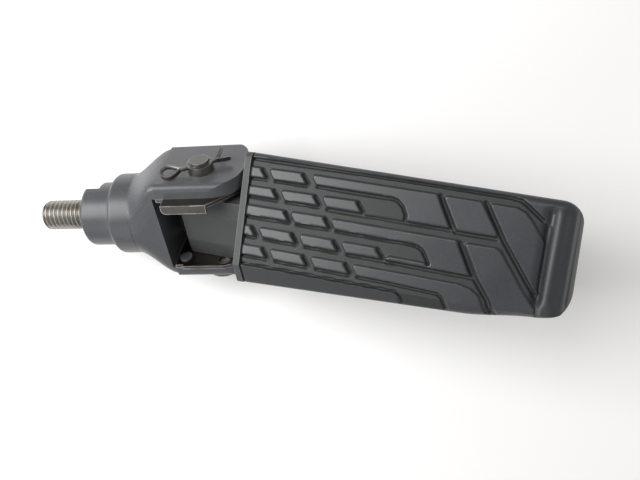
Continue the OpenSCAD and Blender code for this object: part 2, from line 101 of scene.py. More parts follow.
# %% From leaning directions to the frame
FORK_AT = 41.5
FORK_TILT = math.radians(37)
TREAD_TILT = math.radians(15)


def from_fork(a, b, c):
    """a along the stud, b along the clevis pin and c to the open side, turned by the fork's tilt."""
    cos, sin = math.cos(FORK_TILT), math.sin(FORK_TILT)
    return np.stack(np.broadcast_arrays(FORK_AT + a, b * cos - c * sin, b * sin + c * cos), -1) * MM


def from_tread(x, y, z):
    """x along the tread, y across it, z out of it.

    The point is turned back to the pin, then leaned, and then goes through from_fork.
    """
    cos, sin = math.cos(FORK_TILT), math.sin(FORK_TILT)
    b, n = y * cos + z * sin, z * cos - y * sin
    lean_cos, lean_sin = math.cos(TREAD_TILT), math.sin(TREAD_TILT)
    return from_fork(x * lean_cos - n * lean_sin, b, x * lean_sin + n * lean_cos)


print("tread normal", np.round(from_tread(0, 0, 1.0) - from_tread(0, 0, 0.0), 5).tolist())

# %% [markdown]
# ## One maker for every new surface
#
# A rope, a thread and a rubber pad have something in common: each is a loop of
# points that is repeated along a path. If the loops are stored as one array of
# rows, the faces between them follow from counting alone. The two ends are
# closed with one face each, and the sign of the enclosed volume tells whether
# the faces look outwards, so no piece can come out inside out.

# %% Skin over rows of loops
def volume_under(rows):
    """A number with the sign of the enclosed volume, from all four-sided faces and the two end fans."""
    p, q = rows[:-1], rows[1:]
    p_next, q_next = np.roll(p, -1, 1), np.roll(q, -1, 1)
    sides = np.sum(p * np.cross(p_next, q_next)) + np.sum(p * np.cross(q_next, q))
    first, last = rows[0], rows[-1]
    ends = np.sum(np.cross(np.roll(first, -1, 0), first) * first.mean(0))
    ends += np.sum(np.cross(last, np.roll(last, -1, 0)) * last.mean(0))
    return float(sides + ends)


def skin(name, rows, sharp):
    """rows[i, j] is point j of loop i. Edges bent by more than sharp degrees stay sharp."""
    rows = np.asarray(rows, float)
    count, around = rows.shape[:2]
    i = np.arange(count - 1)[:, None]
    j = np.arange(around)[None, :]
    here, up = i * around, (i + 1) * around
    after = (j + 1) % around
    faces = np.stack([here + j, here + after, up + after, up + j], -1).reshape(-1, 4)
    start_cap = np.arange(around)[::-1].tolist()
    end_cap = ((count - 1) * around + np.arange(around)).tolist()
    faces = faces.tolist() + [start_cap, end_cap]
    middle = rows.reshape(-1, 3).mean(0)
    if volume_under(rows - middle) < 0:
        faces = [f[::-1] for f in faces]
    mesh = bpy.data.meshes.new(name)
    mesh.from_pydata(rows.reshape(-1, 3).tolist(), [], faces)
    mesh.validate()
    mesh.polygons.foreach_set("use_smooth", np.ones(len(mesh.polygons), bool))
    mesh.set_sharp_from_angle(angle=math.radians(sharp))
    mesh.update()
    piece = bpy.data.objects.new(name, mesh)
    bpy.context.scene.collection.objects.link(piece)
    print(name, count, "loops of", around, "points")
    return piece


# %% [markdown]
# ## The cut thread of the stud
#
# The stud screws the footpeg to the frame of the machine. On the real piece a
# die or a rolling tool leaves a ridge that climbs 1.5 mm in each turn. It could
# be made by sweeping a small triangle along a helix, but the triangle then has
# to be joined to the core. Here the surface is a single radius that depends on
# two numbers, the way along the stud and the angle round it, so ridge and core
# are one skin. The end is chamfered by never letting the radius pass a cone.

# %% The stud
# The tip and the seat along the stud, the thread's radii and climb, the plain shank
# and the end's chamfer. Then the groove before the shoulder, and how far the flanks
# are cut flat and rounded.
STUD_END, STUD_SEAT = -16.5, 14.0
CREST, ROOT, PITCH = 5.0, 4.1, 1.5
SHANK, CHAMFER = 4.55, 1.0
RUN_OUT_AT, RUN_OUT_LONG = -1.9, 0.9
FLANK_GAIN, ROOT_FLAT, FLANK_SOFT = 1.25, 0.12, 0.35


def thread_radius(along, angle):
    """root + (crest - root) x height. Height is a triangle wave of the climb, with cut tips."""
    phase = (along / PITCH - angle / (2 * math.pi)) % 1.0
    height = np.clip(np.abs(2 * phase - 1) * FLANK_GAIN - ROOT_FLAT, 0, 1)
    soft = height * height * (3 - 2 * height)
    radius = ROOT + (CREST - ROOT) * (soft * FLANK_SOFT + height * (1 - FLANK_SOFT))
    run_out = np.clip((along - RUN_OUT_AT) / RUN_OUT_LONG, 0, 1)
    radius = radius * (1 - run_out) + ROOT * run_out
    cone = CREST - CHAMFER + np.clip(along - STUD_END, 0, 10)
    radius = np.minimum(radius, cone)
    return np.where(along > 0.0, SHANK, radius)


along = np.concatenate([np.linspace(STUD_END, -0.01, 232), [0.01, STUD_SEAT]])[:, None]
angle = np.linspace(0, 2 * math.pi, 97)[None, :-1]
radius = thread_radius(along, angle)
stud_rows = np.stack(np.broadcast_arrays(along, radius * np.cos(angle), radius * np.sin(angle)), -1) * MM
stud = skin("threaded_stud_cut", stud_rows, 75)
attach(stud, "bracket_body")
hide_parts("threaded_stud")
print("turns of thread:", round((RUN_OUT_AT - STUD_END) / PITCH, 1))

# %% [markdown]
# ## The moulded rubber tread
#
# The rubber is one moulding: a thick patterned top, four walls that hang over
# the cast core, and a blunt end. A mould is cut from above, so its top is a
# height over every point of the plan. That makes a height field the natural
# choice: the plan gives where a point lies, and a sum of simple rules gives how
# deep it is. Sculpting would also work, but a rule can be read and changed.
#
# First come the rules for the plan: the two long edges run slightly together
# and the outer corners are round, the rear one tighter than the front one.

# %% The plan of the rubber
# Lengths along the tread, heights out of it, half widths at both ends, corner radii,
# where the cast core inside stops, and how thick the rubber is round it.
TREAD_START, TREAD_STOP = 18.2, 113.0
TREAD_TOP, TREAD_RIM, DECK = 12.9, -9.1, 5.9
HALF_START, HALF_END = 20.0, 16.5
REAR_ROUND, FRONT_ROUND, END_ROLL = 6.0, 10.0, 6.0
CORE_END, WALL = 104.0, 4.0


def half_width(x, corner):
    """A straight line from the wide start to the narrow end, then a quarter circle at the corner."""
    turn = TREAD_STOP - corner
    share_along = (np.minimum(x, turn) - TREAD_START) / (turn - TREAD_START)
    past = np.clip(x - turn, 0, corner)
    return HALF_START + (HALF_END - HALF_START) * share_along - (corner - np.sqrt(corner**2 - past**2))


def edge_distance(x, y):
    """Distances to the rear and front edge, or to the corner's circle for a point beyond its centre."""
    rear = half_width(np.minimum(x, TREAD_STOP - REAR_ROUND), REAR_ROUND) - y
    front = half_width(np.minimum(x, TREAD_STOP - FRONT_ROUND), FRONT_ROUND) + y
    rear_x, rear_y = TREAD_STOP - REAR_ROUND, HALF_END - REAR_ROUND
    front_x, front_y = TREAD_STOP - FRONT_ROUND, FRONT_ROUND - HALF_END
    in_rear = REAR_ROUND - np.hypot(x - rear_x, y - rear_y)
    in_front = FRONT_ROUND - np.hypot(x - front_x, y - front_y)
    rear = np.where((x > rear_x) & (y > rear_y), in_rear, rear)
    front = np.where((x > front_x) & (y < front_y), in_front, front)
    return np.maximum(rear, 0), np.maximum(front, 0)


def rounded(distance, radius):
    """How far a round edge has fallen at this distance from its side: radius - height of the circle."""
    inner = np.clip(radius - distance, 0, radius)
    return radius - np.sqrt(radius**2 - inner**2)


print("rubber half width at the core's end:", round(float(half_width(CORE_END, REAR_ROUND)), 2), "mm")

# %% [markdown]
# ## The pattern that a boot stands on
#
# The tread has five rows of slanted blocks. Towards the outer end the blocks
# grow into long bars, and three slanted channels cut across them. Each raised
# area is an outline with a few corners, and each channel is a line with a
# width. The distance from every point of the grid to those outlines, all at
# once, gives soft steps and grooves without any booleans.

# %% Distances to lines and outlines
# The corner radius of a raised area, the width of its sloping side, and how much
# of a groove's width its sides take.
BLOCK_CORNER, BLOCK_SLOPE = 0.7, 0.42
GROOVE_SOFT = 0.75


def to_line(x, y, line):
    """Least distance to the straight stretches between the line's points."""
    near = np.full(np.shape(x), 1e9)
    for (ax, ay), (bx, by) in zip(line[:-1], line[1:]):
        dx, dy = bx - ax, by - ay
        t = np.clip(((x - ax) * dx + (y - ay) * dy) / (dx * dx + dy * dy), 0, 1)
        near = np.minimum(near, np.hypot(x - ax - t * dx, y - ay - t * dy))
    return near


def inside(x, y, outline):
    """True where a ray to the side crosses the outline an odd number of times."""
    odd = np.zeros(np.shape(x), bool)
    for (ax, ay), (bx, by) in zip(outline, outline[1:] + outline[:1]):
        if ay != by:
            odd ^= ((ay > y) != (by > y)) & (x < ax + (y - ay) * (bx - ax) / (by - ay))
    return odd


def drawn_in(outline, by):
    """The outline with each side moved inwards: corners are where neighbouring moved sides meet."""
    p = np.array(outline, float)
    turn = np.sum(p[:, 0] * np.roll(p[:, 1], -1) - np.roll(p[:, 0], -1) * p[:, 1])
    side = np.roll(p, -1, 0) - p
    side /= np.linalg.norm(side, axis=1)[:, None]
    normal = np.stack([-side[:, 1], side[:, 0]], 1) * np.sign(turn)
    before_n, before_s = np.roll(normal, 1, 0), np.roll(side, 1, 0)
    cross = before_s[:, 0] * side[:, 1] - before_s[:, 1] * side[:, 0]
    gap = (normal - before_n) * by
    t = (gap[:, 0] * side[:, 1] - gap[:, 1] * side[:, 0]) / cross
    return [tuple(q) for q in p + before_n * by + before_s * t[:, None]]


def soft_step(d, width):
    """0 to 1 across the width, level at both ends."""
    t = np.clip(d / width + 0.5, 0, 1)
    return t * t * (3 - 2 * t)


def raised(x, y, outline):
    """1 inside the outline, 0 outside it, with round corners and a sloping side."""
    small = drawn_in(outline, BLOCK_CORNER)
    d = to_line(x, y, small + small[:1]) * np.where(inside(x, y, small), 1, -1)
    return soft_step(d + BLOCK_CORNER, BLOCK_SLOPE)


def groove(x, y, line, width):
    """1 on the line, falling smoothly to 0 at half the width."""
    return soft_step(width / 2 - to_line(x, y, line), width * GROOVE_SOFT)


# %% [markdown]
# The rows are almost parallel. Each row has a top line and a bottom line that
# drift down a little towards the outer end, and its blocks all have one length
# and one slant, so a row needs only the place of one block. The first block of
# the middle row is longer: it runs back to the flange. A thin cut follows the
# slanted end and the foot of each block, a little way off three of its corners.

# %% The rows, bars and channels
# A block's length, the step to the next one and its slant. Each row line is its
# place at the start of the tread and its drift. Each foot corner is the number of
# a block's corner and how far the cut stands off it.
BLOCK, STEP, SLANT = 10.7, 13.15, 0.66
ROW_TOP = [(15.65, 0.012), (9.9, 0.012), (4.2, 0.020), (-1.95, 0.020), (-7.85, 0.018)]
ROW_FOOT = [(12.45, 0.016), (6.95, 0.024), (0.95, 0.023), (-5.1, 0.0235), (-11.05, 0.0195)]
ROW_PLACE = [24.25, 28.7, 32.6, 23.0, 27.3]
ROW_BLOCKS = [(-1, 0), (-1, 0, 1), (-1, 0), (-1, 0, 1, 2), (-1, 0, 1)]
LONG_BLOCK, LONG_START, LONG_PAST = (2, -1), 8.0, 0.5
FOOT_CORNERS = [(1, 0.5, -0.35), (2, 0.42, 0.35), (2, -0.2, -0.42), (3, 0.3, -0.42)]


def row_line(line, x):
    """The line's place across the tread: where it starts, less its drift so far."""
    return line[0] - line[1] * (x - TREAD_START)


def row_block(row, k):
    """Four corners: the top side starts at the block's place, and the foot is moved by slant x height."""
    x = ROW_PLACE[row] + k * STEP
    is_long = (row, k) == LONG_BLOCK
    start = LONG_START if is_long else x
    stop = x + BLOCK + (LONG_PAST if is_long else 0)
    top, foot = ROW_TOP[row], ROW_FOOT[row]
    drop = SLANT * (row_line(top, x) - row_line(foot, x))
    return [(start, row_line(top, start)), (stop, row_line(top, stop)),
            (stop + drop, row_line(foot, stop)), (start + drop, row_line(foot, start))]


blocks = [row_block(row, k) for row in range(5) for k in ROW_BLOCKS[row]]
bars = [
    [(37.8, 15.4), (46, 15.15), (60, 14.65), (75.1, 14.15), (80.0, 5.3), (67.2, 5.65), (67.5, 7.2),
     (66.3, 9.8), (64.6, 11.3), (62.4, 11.75), (50, 12.0), (40.1, 12.35)],
    [(76.7, 14.0), (87.0, 13.55), (92.7, 4.75), (81.7, 4.95)],
    [(89.0, 13.4), (96.2, 13.1), (98.6, 12.1), (100.4, 10.2), (102.4, 7.4), (104.2, 5.0), (104.2, -8.9),
     (103.4, -8.9), (94.6, 4.3)],
    [(45.3, 3.55), (60, 3.1), (81.8, 2.5), (82.5, 1.9), (87.1, -6.7), (75, -6.35), (62.2, -5.95),
     (62.6, -5.65), (75.6, -5.55), (75.3, -4.6), (73.6, -1.7), (72.4, -0.75), (70.6, -0.25), (58, 0.05),
     (47.3, 0.45)],
    [(84.0, 2.1), (92.2, 1.95), (93.6, 1.3), (101.2, -9.2), (104.2, -12.5), (104.2, -18), (95.6, -18),
     (92.8, -12.4), (88.7, -6.6)],
    [(53.4, -8.55), (70, -8.8), (84, -9.15), (87.2, -9.9), (89.6, -11.4), (92.6, -18), (82.4, -18),
     (81.3, -15), (79.8, -13.0), (78.6, -12.5), (66, -12.0), (55.4, -11.75)],
]
foot_lines = [[(b[n][0] + dx, b[n][1] + dy) for n, dx, dy in FOOT_CORNERS] for b in blocks]
channels = [
    ([(40.2, 11.95), (50, 11.6), (60, 11.3)], 1.0),
    ([(60, 11.25), (62.6, 11.3), (64.4, 10.8), (66.0, 9.3), (67.1, 7.1), (66.9, 5.2)], 0.9),
    ([(44, 5.75), (55, 5.4), (67, 5.15), (79.8, 4.75)], 1.0),
    ([(81.2, 4.45), (86, 4.3), (92.2, 4.2)], 1.05),
    ([(75.9, 13.9), (80.6, 5.0)], 1.1),
    ([(88.2, 13.5), (93.9, 4.0), (103.4, -9.0)], 1.05),
    ([(47.6, -0.05), (58, -0.4), (70.4, -0.7), (72.0, -1.15), (73.2, -2.0), (75.0, -5.0)], 0.9),
    ([(52, -6.25), (62, -6.4), (75, -6.8), (87.2, -7.15)], 1.0),
    ([(82.9, 1.9), (87.7, -7.0), (91.9, -12.4), (94.0, -18)], 1.15),
    ([(55.6, -12.15), (66, -12.4), (78.6, -12.95), (80.0, -13.8), (81.6, -18)], 0.9),
    ([(18, 17.9), (30, 17.65), (45, 17.2), (62, 16.65), (80, 16.0), (94, 15.45), (97.2, 14.9), (99.3, 13.4),
      (103.0, 10.6)], 0.95),
    ([(18, -13.65), (40, -13.8), (58, -14.0), (67.0, -14.2), (68.6, -15.4), (69.2, -18)], 0.8),
]
print("blocks:", len(blocks), "bars:", len(bars), "channels:", len(channels))

# %% [markdown]
# ## Height over the plan
#
# Now the rules are put together. The long rear edge is rounded, the front edge
# is a slope with a soft lip, and the outer end rolls over. Close to that end
# the moulding has a valley, a rib and a flute that run across it. The ground
# between the blocks is lower than their tops, and the channels are deeper.

# %% The height of the rubber
# Depths under the smooth top, and the width of the cut at a block's foot.
GROUND, CHANNEL = 0.62, 1.3
FOOT_CUT_WIDE = 0.9
# The front slope, the radii of the long edges, and the drop where the tread starts.
SLOPE_WIDE, SLOPE_HIGH = 5.5, 4.5
REAR_EDGE, FRONT_EDGE = 2.4, 1.0
START_DROP, START_LONG, START_SOFT = 0.5, 0.5, 0.7
# Smooth bands along both edges: their lines, where they stop, and their soft sides.
REAR_BAND, BAND_STOP, BAND_TURN, BAND_LEAN = (17.9, 0.031), 99.6, 13.5, 1.3
FRONT_BAND, FRONT_BAND_STOP, FRONT_BAND_HIGH = -14.1, 68.0, 0.55
BAND_SOFT, BAND_END_SOFT = 0.5, 0.6
# Where the pattern fades: in from the rear and the front edge, and near the end.
PATTERN_REAR, PATTERN_FRONT, PATTERN_SOFT = 0.9, 0.5, 0.8
PATTERN_STOP, PATTERN_END_SOFT = 105.0, 1.6
# How raised the edges and walls count, where the pattern gives no value of its own; less raised means more
# painted ground shade.
EDGE_RAISED_AND_LIT = 0.6
# Valleys across the end: place, lean, width and depth. They fade near both edges.
END_VALLEYS = [(104.7, 0.03, 1.25, 1.25), (109.2, 0.04, 1.3, 0.4), (111.5, 0.02, 0.4, 0.4)]
VALLEY_REAR, VALLEY_REAR_SOFT = 13.6, 2.5
VALLEY_FRONT, VALLEY_FRONT_SOFT = -11.0, 3.0


def pattern(x, y):
    """Depth under the smooth top, then how far each point is raised and how far it is cut, 0 to 1.

    The depth is the greater of ground x (1 - raised) and channel x cut. Two smooth
    bands, along the rear edge and along the front one, are raised as well.
    """
    up = np.zeros(np.shape(x))
    for outline in blocks + bars:
        up = np.maximum(up, raised(x, y, outline))
    cut = np.zeros(np.shape(x))
    for line in foot_lines:
        cut = np.maximum(cut, groove(x, y, line, FOOT_CUT_WIDE))
    for line, width in channels:
        cut = np.maximum(cut, groove(x, y, line, width))
    rear_band = soft_step(y - row_line(REAR_BAND, x), BAND_SOFT)
    corner_band = soft_step(x - BAND_STOP + (y - BAND_TURN) * BAND_LEAN, BAND_END_SOFT)
    up = np.maximum(up, np.clip(rear_band + corner_band, 0, 1))
    front_band = soft_step(FRONT_BAND - y, BAND_SOFT) * soft_step(FRONT_BAND_STOP - x, BAND_END_SOFT)
    up = np.maximum(up, FRONT_BAND_HIGH * front_band)
    return np.maximum(GROUND * (1 - up), CHANNEL * cut), up * (1 - cut), cut


def end_ribs(x, y):
    """Depth of the valleys across the end: each is a bell curve with a place, lean, width and depth."""
    fade = soft_step(VALLEY_REAR - y, VALLEY_REAR_SOFT) * soft_step(y - VALLEY_FRONT, VALLEY_FRONT_SOFT)
    valleys = [deep * np.exp(-(((x - at - lean * y) / wide) ** 2)) for at, lean, wide, deep in END_VALLEYS]
    return fade * sum(valleys)


def top_height(x, y):
    """Height, how raised and how far cut by a groove each point is, the last two for painted shade: the top
    less its falling edges, pattern and valleys.
    """
    x, y = np.broadcast_arrays(x, y)
    rear, front = edge_distance(x, y)
    slope = np.clip(-HALF_START + SLOPE_WIDE - y, 0, 9) * SLOPE_HIGH / SLOPE_WIDE
    roll = rounded(TREAD_STOP - x, END_ROLL)
    lip = START_DROP * (1 - soft_step(x - TREAD_START - START_LONG, START_SOFT))
    depth, up, cut = pattern(x, y)
    keep = soft_step(rear - PATTERN_REAR, PATTERN_SOFT) * soft_step(front - PATTERN_FRONT, PATTERN_SOFT)
    keep = keep * soft_step(PATTERN_STOP - x, PATTERN_END_SOFT)
    edges_fall = np.maximum(rounded(rear, REAR_EDGE), slope + rounded(front, FRONT_EDGE))
    height = TREAD_TOP - np.maximum(edges_fall, roll) - lip - depth * keep - end_ribs(x, y)
    return height, up * keep + (1 - keep) * EDGE_RAISED_AND_LIT, cut * keep


# %% [markdown]
# ## Wrapping the moulding into one closed skin
#
# For each place along the tread one loop goes over the patterned top, down the
# rear wall, under the rim, up into the pocket that holds the core, and back up
# the front wall. The loops are spaced closer near the outer end, by the sine
# of an even angle, because there the plan turns through a quarter circle.

# %% The loops of the rubber
# The slot that holds the insert plate, the rim under the walls, how near two points
# stand at a square corner, and how the front is drawn in towards the outer end.
SLOT_START, SLOT_STOP, SLOT_DEEP, SLOT_HALF = 28.0, 96.0, 2.05, 9.06
RIM_WALL, RIM_RISE = 1.0, 2.0
NEAR_Y, NEAR_X = 0.02, 0.03
BODY_LOOPS, END_LOOPS, TOP_POINTS, TOP_CLOSER = 300, 40, 136, 0.035
DRAWN_IN, DRAWN_AT, DRAWN_LONG, DRAWN_FROM, DRAWN_WIDE = 1.6, 95.0, 20.0, 13.0, 3.5

slot_ends = [SLOT_START - NEAR_X, SLOT_START + NEAR_X, SLOT_STOP - NEAR_X, SLOT_STOP + NEAR_X]
body_x = np.linspace(TREAD_START, TREAD_STOP - END_ROLL, BODY_LOOPS)[:-1]
body_x = np.sort(np.concatenate([body_x, [CORE_END, CORE_END + 0.05], slot_ends]))
round_x = TREAD_STOP - END_ROLL + END_ROLL * np.sin(np.linspace(0, math.pi / 2, END_LOOPS))
place = np.concatenate([body_x, round_x])[:, None]
rear_y = half_width(place, REAR_ROUND)
front_y = -half_width(place, FRONT_ROUND)

share = np.linspace(0, 1, TOP_POINTS)[None, :]
share = share - TOP_CLOSER * np.sin(2 * math.pi * share)
top_y = front_y + (rear_y - front_y) * share
top_z, top_up, top_cut = top_height(place, top_y)

wall_share = np.linspace(0, 1, 6)[None, 1:]
rim = TREAD_RIM + np.clip(place - TREAD_STOP + RIM_RISE, 0, RIM_RISE)
rear_wall_z = top_z[:, -1:] + (rim + RIM_WALL - top_z[:, -1:]) * wall_share
front_wall_z = (top_z[:, :1] + (rim + RIM_WALL - top_z[:, :1]) * wall_share)[:, ::-1]


def pocket_half(x, corner):
    """Half of the pocket's width: the plan's straight taper less the wall, with a round corner."""
    line = half_width(np.minimum(x, CORE_END - WALL), REAR_ROUND) - WALL
    past = np.clip(x - (CORE_END - corner), 0, corner)
    return line - (corner - np.sqrt(corner**2 - past**2))


hollow = place <= CORE_END
pocket_rear, pocket_front = pocket_half(place, 2.0), -pocket_half(place, 4.0)
slot_rows = (place > SLOT_START) & (place < SLOT_STOP)
ceiling = np.where(hollow, DECK, rim)
slot_z = np.where(hollow & slot_rows, DECK + SLOT_DEEP, ceiling)
middle = np.zeros_like(place)
across = [
    (rear_y - RIM_WALL, rim), (pocket_rear + NEAR_Y, rim), (pocket_rear - NEAR_Y, ceiling),
    (middle + SLOT_HALF + NEAR_Y, ceiling), (middle + SLOT_HALF - NEAR_Y, slot_z), (middle, slot_z),
    (middle - SLOT_HALF + NEAR_Y, slot_z), (middle - SLOT_HALF - NEAR_Y, ceiling),
    (pocket_front + NEAR_Y, ceiling), (pocket_front - NEAR_Y, rim), (front_y + RIM_WALL, rim),
]
under_y = np.concatenate([np.broadcast_to(y, place.shape) for y, z in across], 1)
under_z = np.concatenate([np.broadcast_to(z, place.shape) for y, z in across], 1)
kept_in = np.clip(under_y, front_y + RIM_WALL, rear_y - RIM_WALL)
under_y = np.where(place > CORE_END + WALL, kept_in, under_y)

rear_wall_y = np.broadcast_to(rear_y, rear_wall_z.shape)
front_wall_y = np.broadcast_to(front_y, front_wall_z.shape)
loop_y = np.concatenate([top_y, rear_wall_y, under_y, front_wall_y], 1)
loop_z = np.concatenate([top_z, rear_wall_z, under_z, front_wall_z], 1)

# Towards the outer end the front side is drawn in a little, most at the front wall itself.
drawn_along = soft_step(place - DRAWN_AT, DRAWN_LONG)
drawn_across = np.clip((-loop_y - DRAWN_FROM) / DRAWN_WIDE, 0, 1)
loop_y = loop_y + DRAWN_IN * drawn_along * drawn_across
rubber_rows = from_tread(place, loop_y, loop_z)
rubber = skin("rubber_tread_moulded", rubber_rows, 62)
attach(rubber, "peg")
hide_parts("rubber_tread")

# %% [markdown]
# The finish paints the lower ground and the grooves of the rubber darker, as
# shade, so it needs to know how raised each point is and where the grooves are.
# Both are already known from the pattern, so they are kept on the mesh as numbers
# at each point, and the material reads them by name.

# %% Raised tops and painted groove shade as numbers on the mesh
def keep_numbers(piece, name, values):
    """One number for each point of the mesh, in the order of the rows."""
    kept = piece.data.attributes.new(name, "FLOAT", "POINT")
    kept.data.foreach_set("value", np.ascontiguousarray(values, np.float32).ravel())


others = loop_y.shape[1] - top_up.shape[1]
sides = np.full((place.shape[0], others), EDGE_RAISED_AND_LIT)
# These numbers steer painted shade: the lower ground and the grooves are made darker.
keep_numbers(rubber, "raised_and_lit", np.concatenate([top_up, sides], 1))
keep_numbers(rubber, "groove_shade", np.concatenate([top_cut, sides * 0], 1))
print("rubber points:", len(rubber.data.vertices), "faces:", len(rubber.data.polygons))

# %% [markdown]
# ## The split pin
#
# A split pin is one length of half-round wire, folded so that its flat faces
# meet, with an eye at the fold. After it is pushed through the clevis pin its
# two legs are bent apart. Here the folded path is drawn in one plane, and a
# half-round profile is carried along it: the flat always looks at the fold.

# %% A profile carried along a path in a plane
# The clevis pin's place in the fork, the split pin's place along it and its two
# turns, the wire's radius, the eye, and where both bent legs end.
PIN_ALONG, PIN_OPEN = 1.2, 3.5
SPLIT_B, SPLIT_TURN, SPLIT_ROLL = 20.3, math.radians(25), math.radians(18)
SPLIT_RADIUS, EYE_AT, EYE_INNER, EYE_OPEN = 0.88, -9.9, 2.5, 66
UPPER_TIP, LOWER_TIP = (9.6, 0.9), (7.6, -4.3)
WIRE_LOOPS, TIP_LOOPS, TIP_SIZE = 220, 3.0, 0.45


def bezier(a, b, c, d, n):
    """The usual weights (1-t)^3, 3t(1-t)^2, 3t^2(1-t), t^3 on four points."""
    t = np.linspace(0, 1, n)[:, None]
    a, b, c, d = map(np.array, (a, b, c, d))
    return (1 - t) ** 3 * a + 3 * t * (1 - t) ** 2 * b + 3 * t**2 * (1 - t) * c + t**3 * d


def evened(path, n, calm):
    """The path in n equal steps, with each point averaged with its neighbours calm times."""
    length = np.concatenate([[0], np.cumsum(np.linalg.norm(np.diff(path, axis=0), axis=1))])
    at = np.linspace(0, length[-1], n)
    out = np.stack([np.interp(at, length, path[:, k]) for k in range(path.shape[1])], 1)
    for _ in range(calm):
        out[1:-1] = (out[:-2] + 2 * out[1:-1] + out[2:]) / 4
    return out


def leg(sign, tip):
    """From the tip, over the bend at the clevis pin, along the shaft and into the neck of the eye."""
    bend = bezier(tip, (6.0, sign * 0.9), (4.9, sign * 0.1), (3.6, sign * 0.04), 24)
    shaft = bezier((3.6, sign * 0.04), (0, sign * 0.04), (-2.5, sign * 0.04), (-5.2, sign * 0.08), 16)
    neck = bezier((-5.2, sign * 0.08), (-6.6, sign * 0.2), (-6.9, sign * 1.5), (EYE_AT + 1.0, sign * 2.3), 18)
    return np.concatenate([bend, shaft[1:], neck[1:]])


def turned(u, v, angle):
    """Both coordinates after a turn in their plane."""
    cos, sin = math.cos(angle), math.sin(angle)
    return u * cos + v * sin, v * cos - u * sin


turn = np.linspace(math.radians(EYE_OPEN), math.radians(360 - EYE_OPEN), 40)
eye = np.stack([EYE_AT + EYE_INNER * np.cos(turn), EYE_INNER * np.sin(turn)], 1)
folded = np.concatenate([leg(1, UPPER_TIP), eye, leg(-1, LOWER_TIP)[::-1]])
path = evened(folded, WIRE_LOOPS, 6)
ahead = np.gradient(path, axis=0)
ahead /= np.linalg.norm(ahead, axis=1)[:, None]
outward = np.stack([ahead[:, 1], -ahead[:, 0]], 1)
outward *= np.sign(np.sum(outward * (path - [EYE_AT, 0]), 1).mean())

half_turn = np.linspace(0, math.pi, 13)
rise = np.concatenate([np.sin(half_turn), [0.0, 0.0, 0.0]]) * SPLIT_RADIUS
side = np.concatenate([np.cos(half_turn), [-0.5, 0.0, 0.5]]) * SPLIT_RADIUS
from_tip = np.minimum(np.arange(WIRE_LOOPS), np.arange(WIRE_LOOPS)[::-1])
taper = np.clip(from_tip / TIP_LOOPS + TIP_SIZE, 0, 1)[:, None]
wire_x = path[:, :1] + outward[:, :1] * rise[None, :] * taper
wire_z = path[:, 1:] + outward[:, 1:] * rise[None, :] * taper
wire_b = side[None, :] * taper
wire_z, wire_b = turned(wire_z, wire_b, SPLIT_ROLL)
wire_x, wire_z = turned(wire_x, wire_z, SPLIT_TURN)
split_rows = from_fork(PIN_ALONG + wire_x, SPLIT_B + wire_b, PIN_OPEN + wire_z)
split = skin("split_pin_bent", split_rows, 50)
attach(split, "bracket_body")
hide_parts("split_pin")

# %% [markdown]
# ## The coil behind the click ball
#
# A compression spring is a round wire on a helix. Its two last turns are wound
# close so that it stands square. A circle is carried along the helix, and the
# direction away from the axis is one side of that circle, so no twisting frame
# has to be worked out.

# %% The click spring
# The wire's radius, the coil's radius, its length and turns, and how much closer
# the turns are wound at both ends.
WIRE, COIL, LENGTH, TURNS, CLOSER = 0.29, 2.0, 5.3, 7, 0.045

spring_low, spring_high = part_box("click_spring")
spring_mid = (np.array(spring_low) + np.array(spring_high)) / 2
pin_way = (from_fork(0, 1.0, 0) - from_fork(0, 0, 0)) / MM
open_way = (from_fork(0, 0, 1.0) - from_fork(0, 0, 0)) / MM
stud_way = np.array([1.0, 0, 0])
u = np.linspace(0, 1, 260)[:, None]
wound = 2 * math.pi * TURNS * u
climb = u - CLOSER * np.sin(2 * math.pi * u) - 0.5
away = np.cos(wound) * stud_way + np.sin(wound) * open_way
centre = spring_mid / MM + away * COIL + climb * (LENGTH - 2 * WIRE) * pin_way
ring = np.linspace(0, 2 * math.pi, 11)[None, :-1, None]
spring_rows = (centre[:, None] + WIRE * (np.cos(ring) * away[:, None] + np.sin(ring) * pin_way)) * MM
spring = skin("click_spring_wound", spring_rows, 60)
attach(spring, "peg")
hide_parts("click_spring")

# %% [markdown]
# ## Effects that several finishes share
#
# Paint, steel, cast metal and rubber all need the same three things: grain that
# is finer than the shape, edges that are rubbed, which on the sheet also carry a
# painted highlight, and hollows that get dust and painted shading.
# Each is built once as a group of nodes with named inputs, and each material
# then places it with its own values.

# %% A small way to write nodes down
def new_group(name, inputs, outputs):
    """A node group with float inputs (name: default) and float outputs."""
    group = bpy.data.node_groups.new(name, "ShaderNodeTree")
    for label, value in inputs.items():
        socket = group.interface.new_socket(label, in_out="INPUT", socket_type="NodeSocketFloat")
        socket.default_value = value
    for label in outputs:
        group.interface.new_socket(label, in_out="OUTPUT", socket_type="NodeSocketFloat")
    return group, group.nodes.new("NodeGroupInput"), group.nodes.new("NodeGroupOutput")


def put(tree, kind, values=None, links=None, **settings):
    """One node: settings are its properties, values its unlinked inputs and links its linked ones."""
    node = tree.nodes.new(kind)
    for key, value in settings.items():
        setattr(node, key, value)
    for key, value in (values or {}).items():
        node.inputs[key].default_value = value
    for key, source in (links or {}).items():
        tree.links.new(source, node.inputs[key])
    return node


